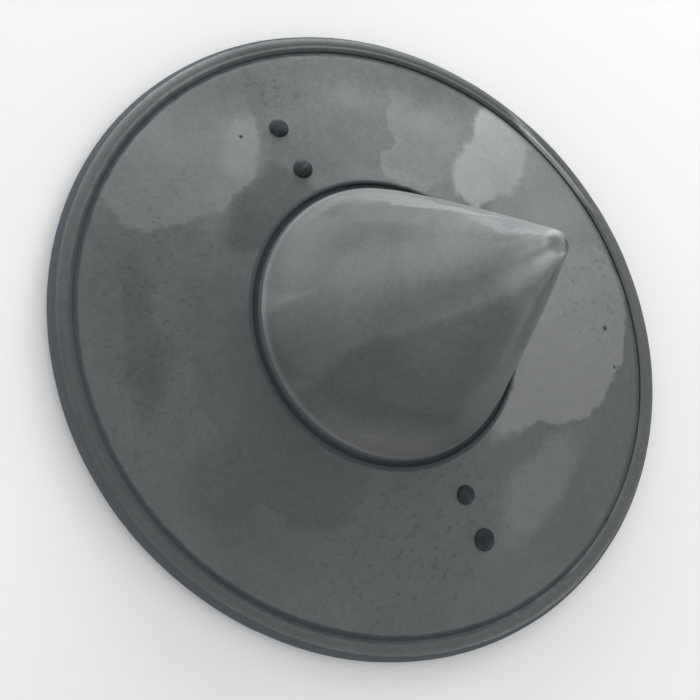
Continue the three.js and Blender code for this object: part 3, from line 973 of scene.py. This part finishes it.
def worn_steel(name, polish_and_painted_light, painted_light_ovals, pitting, pitted, deep_pits, raggedness, unroll):
    """Mild steel sheet, beaten and left to tarnish; raggedness is how far a patch's edge wanders.

    To the eye: a dull cool grey with painted reflections and painted shade as ragged lighter and darker
    patches, cloudy and finely mottled, flecked and pitted in clusters, with dark grime in the joints.
    """
    material, tree = new_material(name)
    place = add(tree, "ShaderNodeTexCoord").outputs["Object"]

    # Patches with ragged edges: painted reflections and painted shade, as lighter and darker polish
    bays = add(
        tree,
        "ShaderNodeTexNoise",
        {"Vector": place, "Scale": 1 / (PATCH_BAY * MM), "Detail": 4.0, "Roughness": 0.58},
    )
    swing = add(
        tree,
        "ShaderNodeVectorMath",
        {0: bays.outputs["Color"], 1: (0.5, 0.5, 0.5)},
        operation="SUBTRACT",
    )
    reach = (raggedness * MM, raggedness * MM, raggedness * MM)
    ragged = add(tree, "ShaderNodeVectorMath", {0: swing, 1: reach, 2: place}, operation="MULTIPLY_ADD")
    if unroll:
        ragged = unrolled(tree, ragged)
    painted_light_patches = blotched(tree, ragged, polish_and_painted_light, painted_light_ovals)
    pitting = blotched(tree, ragged, pitting, pitted)

    # The painted reflections and shade are on the front only, and the back lay dry
    beaten = add(tree, "ShaderNodeAttribute", attribute_name="beaten").outputs["Fac"]
    front = add(tree, "ShaderNodeMath", {0: beaten, 1: -FULL_RELIEF / 2}, operation="GREATER_THAN")
    polish_and_painted_light = add(tree, "ShaderNodeMix", {"Factor": front, "A": polish_and_painted_light, "B": painted_light_patches}, data_type="FLOAT")

    # Edges rubbed bright, partly a painted highlight, then clouds and mottling over all
    rubbed_and_highlit = add(tree, "ShaderNodeAttribute", attribute_name="rubbed_and_highlit").outputs["Fac"]
    polish_and_painted_light = add(tree, "ShaderNodeMath", {0: rubbed_and_highlit, 1: EDGE_RUB_AND_HIGHLIGHT, 2: polish_and_painted_light}, operation="MULTIPLY_ADD")
    for size, detail, coarseness, change in CLOUDS:
        cloud = add(
            tree,
            "ShaderNodeTexNoise",
            {"Vector": place, "Scale": 1 / (size * MM), "Detail": detail, "Roughness": coarseness},
        )
        cloudy = add(
            tree,
            "ShaderNodeMapRange",
            {"Value": cloud, "From Min": 0.3, "From Max": 0.7, "To Min": -change, "To Max": change},
        )
        polish_and_painted_light = add(tree, "ShaderNodeMath", {0: polish_and_painted_light, 1: cloudy}, operation="ADD")

    # Colour, finish and metal by polish with its painted reflections, shade and gleaming highlight, by grime
    # with its painted shade, and by rust
    pit = rusted(tree, place, pitting, deep_pits)
    pit = add(tree, "ShaderNodeMath", {0: pit, 1: front}, operation="MULTIPLY")
    dirt_and_shade = grime_and_painted_shade(tree, place)
    # Polish past bright is a painted gleaming highlight
    painted_gleam_share = add(tree, "ShaderNodeMath", {0: polish_and_painted_light, 1: 1.0}, operation="SUBTRACT")
    colour = to_linear(TARNISH_AND_PAINTED_SHADE)
    for share, shade in ((polish_and_painted_light, BRIGHT_AND_PAINTED_REFLECTION), (painted_gleam_share, PAINTED_GLEAM), (dirt_and_shade, GRIME_AND_PAINTED_SHADE), (pit, BLACK_RUST)):
        colour = add(
            tree,
            "ShaderNodeMix",
            {"Factor": share, "A": colour, "B": to_linear(shade)},
            data_type="RGBA",
        )
    dull = add(tree, "ShaderNodeMath", {0: dirt_and_shade, 1: pit}, operation="MAXIMUM")
    roughness = add(tree, "ShaderNodeMapRange", {"Value": polish_and_painted_light, "To Min": 0.6, "To Max": 0.48})
    roughness = add(tree, "ShaderNodeMix", {"Factor": dull, "A": roughness, "B": 0.85}, data_type="FLOAT")
    metallic = add(tree, "ShaderNodeMapRange", {"Value": dull, "To Min": 1.0, "To Max": 0.2})

    # Scour marks, and the pits themselves
    grain = add(tree, "ShaderNodeTexNoise", {"Vector": place, "Scale": 1 / (SCOUR_MARK * MM), "Detail": 3.0})
    height = add(tree, "ShaderNodeMath", {0: pit, 1: -1.5, 2: grain}, operation="MULTIPLY_ADD")
    bump = add(tree, "ShaderNodeBump", {"Strength": 0.12, "Distance": 0.25 * MM, "Height": height})
    shader = add(
        tree,
        "ShaderNodeBsdfPrincipled",
        {
            "Base Color": colour,
            "Metallic": metallic,
            "Roughness": roughness,
            "Specular IOR Level": DIRT_SHEEN,
            "Normal": bump,
        },
    )
    add(tree, "ShaderNodeOutputMaterial", {"Surface": shader})
    return material


def forged_iron(name):
    """A wrought bar, drawn out under the hammer and left with its fire scale.

    To the eye: dark grey scale in flakes, paler iron where hands rubbed it off the hold, a little rust.
    """
    material, tree = new_material(name)
    place = add(tree, "ShaderNodeTexCoord").outputs["Object"]
    flakes = add(
        tree,
        "ShaderNodeTexNoise",
        {"Vector": place, "Scale": 1 / (SCALE_FLAKE * MM), "Detail": 5.0, "Roughness": 0.55},
    )
    spot = add(tree, "ShaderNodeSeparateXYZ", {0: place})
    along = add(tree, "ShaderNodeMath", {0: spot.outputs["Y"]}, operation="ABSOLUTE")
    held = add(
        tree,
        "ShaderNodeMapRange",
        {
            "Value": along,
            "From Min": (HOLD_HALF_LENGTH + NECK_LENGTH) * MM,
            "From Max": HOLD_HALF_LENGTH / 2 * MM,
            "To Max": 0.16,
        },
    )
    bare = add(tree, "ShaderNodeMath", {0: flakes, 1: held}, operation="ADD")
    bare = add(tree, "ShaderNodeMapRange", {"Value": bare, "From Min": 0.44, "From Max": 0.8})
    colour = add(
        tree,
        "ShaderNodeMix",
        {"Factor": bare, "A": to_linear(FIRE_SCALE), "B": to_linear(BARE_IRON)},
        data_type="RGBA",
    )
    damp = add(tree, "ShaderNodeTexNoise", {"Vector": place, "Scale": 1 / (RUST_PATCH * MM), "Detail": 4.0})
    rust = add(
        tree,
        "ShaderNodeMapRange",
        {"Value": damp, "From Min": 0.6, "From Max": 0.78, "To Max": 0.35},
    )
    colour = add(
        tree,
        "ShaderNodeMix",
        {"Factor": rust, "A": colour, "B": to_linear(RED_RUST)},
        data_type="RGBA",
    )
    metallic = add(tree, "ShaderNodeMapRange", {"Value": rust, "To Min": 0.9, "To Max": 0.3})
    roughness = add(tree, "ShaderNodeMapRange", {"Value": bare, "To Min": 0.7, "To Max": 0.42})
    grit = add(tree, "ShaderNodeTexNoise", {"Vector": place, "Scale": 1 / (SCALE_GRIT * MM), "Detail": 3.0})
    height = add(tree, "ShaderNodeMath", {0: bare, 1: -0.6, 2: grit}, operation="MULTIPLY_ADD")
    bump = add(tree, "ShaderNodeBump", {"Strength": 0.3, "Distance": 0.3 * MM, "Height": height})
    shader = add(
        tree,
        "ShaderNodeBsdfPrincipled",
        {"Base Color": colour, "Metallic": metallic, "Roughness": roughness, "Normal": bump},
    )
    add(tree, "ShaderNodeOutputMaterial", {"Surface": shader})
    return material


def blackened_iron(name):
    """Iron rivets, heated and quenched in oil.

    To the eye: nearly black and matt, with a faint grey sheen in rubbed spots, and small hammer marks.
    """
    material, tree = new_material(name)
    place = add(tree, "ShaderNodeTexCoord").outputs["Object"]
    rubs = add(tree, "ShaderNodeTexNoise", {"Vector": place, "Scale": 1 / (RUBBED_SPOT * MM), "Detail": 2.0})
    rubbed = add(tree, "ShaderNodeMapRange", {"Value": rubs, "From Min": 0.45, "From Max": 0.75})
    colour = add(
        tree,
        "ShaderNodeMix",
        {"Factor": rubbed, "A": to_linear(OIL_BLACK), "B": to_linear(RUBBED_BLACK)},
        data_type="RGBA",
    )
    roughness = add(tree, "ShaderNodeMapRange", {"Value": rubbed, "To Min": 0.72, "To Max": 0.5})
    bump = add(tree, "ShaderNodeBump", {"Strength": 0.04, "Distance": 0.2 * MM, "Height": rubs})
    shader = add(
        tree,
        "ShaderNodeBsdfPrincipled",
        {"Base Color": colour, "Metallic": 0.85, "Roughness": roughness, "Normal": bump},
    )
    add(tree, "ShaderNodeOutputMaterial", {"Surface": shader})
    return material


# Stage, with lengths in metres

FLOOR_HALF = 12
STUDIO_GLOW = 0.91
LIGHT_DISTANCE = 1.5

# Soft boxes: azimuth and elevation in degrees, width and height, power in watts
SOFT_BOXES = {
    "far_right": (60, 8, (1.4, 0.4), 20),
    "far_left": (120, 8, (2.0, 0.4), 11.5),
    "over": (30, 30, (0.8, 0.6), 5.6),
    "near_right": (300, 8, (0.8, 0.4), 4),
    "front": (225, 12, (2.0, 0.4), 6),
}


def studio_floor():
    """A wide sheet of pale matt paper; to the eye an even near white."""
    mesh = bpy.data.meshes.new("floor")
    corners = [(-1, -1), (1, -1), (1, 1), (-1, 1)]
    mesh.from_pydata([(x * FLOOR_HALF, y * FLOOR_HALF, 0) for x, y in corners], [], [(0, 1, 2, 3)])
    floor = new_piece("floor", mesh)
    material, tree = new_material("pale_matt_paper")
    shader = add(tree, "ShaderNodeBsdfPrincipled", {"Base Color": to_linear(PALE_PAPER), "Roughness": 0.9})
    add(tree, "ShaderNodeOutputMaterial", {"Surface": shader})
    mesh.materials.append(material)


def studio_glow():
    """Even light from all round."""
    world = bpy.data.worlds.new("studio")
    world.use_nodes = True
    background = world.node_tree.nodes["Background"]
    background.inputs["Color"].default_value = to_linear(STUDIO_GREY)
    background.inputs["Strength"].default_value = STUDIO_GLOW
    bpy.context.scene.world = world


def soft_light(name, azimuth, elevation, size, power):
    """A soft box that faces the shield from a direction."""
    light = bpy.data.lights.new(name, "AREA")
    light.shape = "RECTANGLE"
    light.size, light.size_y = size
    light.energy = power
    lamp = bpy.data.objects.new(name, light)
    bpy.context.scene.collection.objects.link(lamp)
    turn, tilt = math.radians(azimuth), math.radians(elevation)
    way = Vector((math.cos(tilt) * math.cos(turn), math.cos(tilt) * math.sin(turn), math.sin(tilt)))
    lamp.location = way * LIGHT_DISTANCE
    lamp.rotation_euler = way.to_track_quat("Z", "Y").to_euler()


def studio_camera():
    """Looks down on the shield, tilted from its axis and rolled, with the origin a little off the middle."""
    tilt = math.radians(29.95)
    roll = math.radians(29.82)
    focal = 1510
    image = 700
    origin_pixel = (370.7, 339.4)
    distance = 0.7
    heading = math.radians(3.81)
    along = Vector((math.cos(heading), math.sin(heading), 0))
    across = Vector((-math.sin(heading), math.cos(heading), 0))
    axis = Vector((0, 0, 1))
    back = axis * math.cos(tilt) - along * math.sin(tilt)
    level = along * math.cos(tilt) + axis * math.sin(tilt)
    right = level * math.cos(roll) - across * math.sin(roll)
    up = level * math.sin(roll) + across * math.cos(roll)
    place = back * distance
    per_pixel = distance / focal
    middle = image / 2
    aim = right * (middle - origin_pixel[0]) * per_pixel + up * (origin_pixel[1] - middle) * per_pixel
    back = (place - aim).normalized()
    right = up.cross(back).normalized()
    up = back.cross(right)
    data = bpy.data.cameras.new("camera")
    data.sensor_width = 36
    data.lens = focal * data.sensor_width / image
    camera = bpy.data.objects.new("camera", data)
    bpy.context.scene.collection.objects.link(camera)
    camera.matrix_world = Matrix.Translation(place) @ Matrix((right, up, back)).transposed().to_4x4()
    bpy.context.scene.camera = camera


bpy.context.scene.view_settings.view_transform = "Standard"
studio_glow()
studio_floor()
studio_camera()
for light_name, placing in SOFT_BOXES.items():
    soft_light(light_name, *placing)

plate_finish = worn_steel(
    "beaten_mild_steel",
    polish_and_painted_light=0.28,
    painted_light_ovals=PLATE_POLISH_AND_PAINTED_LIGHT,
    pitting=0.15,
    pitted=PLATE_PITTING,
    deep_pits=DEEP_PITS,
    raggedness=22,
    unroll=False,
)
rim_finish = worn_steel(
    "rolled_mild_steel",
    polish_and_painted_light=0.22,
    painted_light_ovals=RIM_POLISH_AND_PAINTED_LIGHT,
    pitting=0.25,
    pitted={},
    deep_pits=(),
    raggedness=3,
    unroll=False,
)
boss_finish = worn_steel(
    "raised_mild_steel",
    polish_and_painted_light=0.28,
    painted_light_ovals=BOSS_POLISH_AND_PAINTED_LIGHT,
    pitting=0.1,
    pitted={},
    deep_pits=(),
    raggedness=12,
    unroll=True,
)
grip_finish = forged_iron("forged_wrought_iron")
rivet_finish = blackened_iron("oil_blackened_iron")

plate = turned_piece(
    "plate_dome", plate_section(), plate_finish, steps_round=480, wave=(0.9, 60), hammer=(0.25, 16), seed=3.0
)
rim = turned_piece(
    "rim_roll", rim_section(), rim_finish, steps_round=480, wave=(0.5, 30), hammer=(0.1, 9), seed=7.0
)
boss = turned_piece(
    "boss_cone", boss_section(), boss_finish, steps_round=256, wave=(1.0, 45), hammer=(0.2, 14), seed=11.0
)
grip = forged_grip(grip_finish)
rivet_set = rivets(rivet_finish)

for piece, nodes, slot in (
    (plate, ["shield_plate"], "plate_steel"),
    (rim, ["rim_band"], "rim_steel"),
    (boss, ["boss"], "boss_steel"),
    (grip, ["grip"], "grip_iron"),
    (rivet_set, list(RIVETS), "rivet_iron"),
):
    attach(piece, "root")
    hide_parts(*nodes)
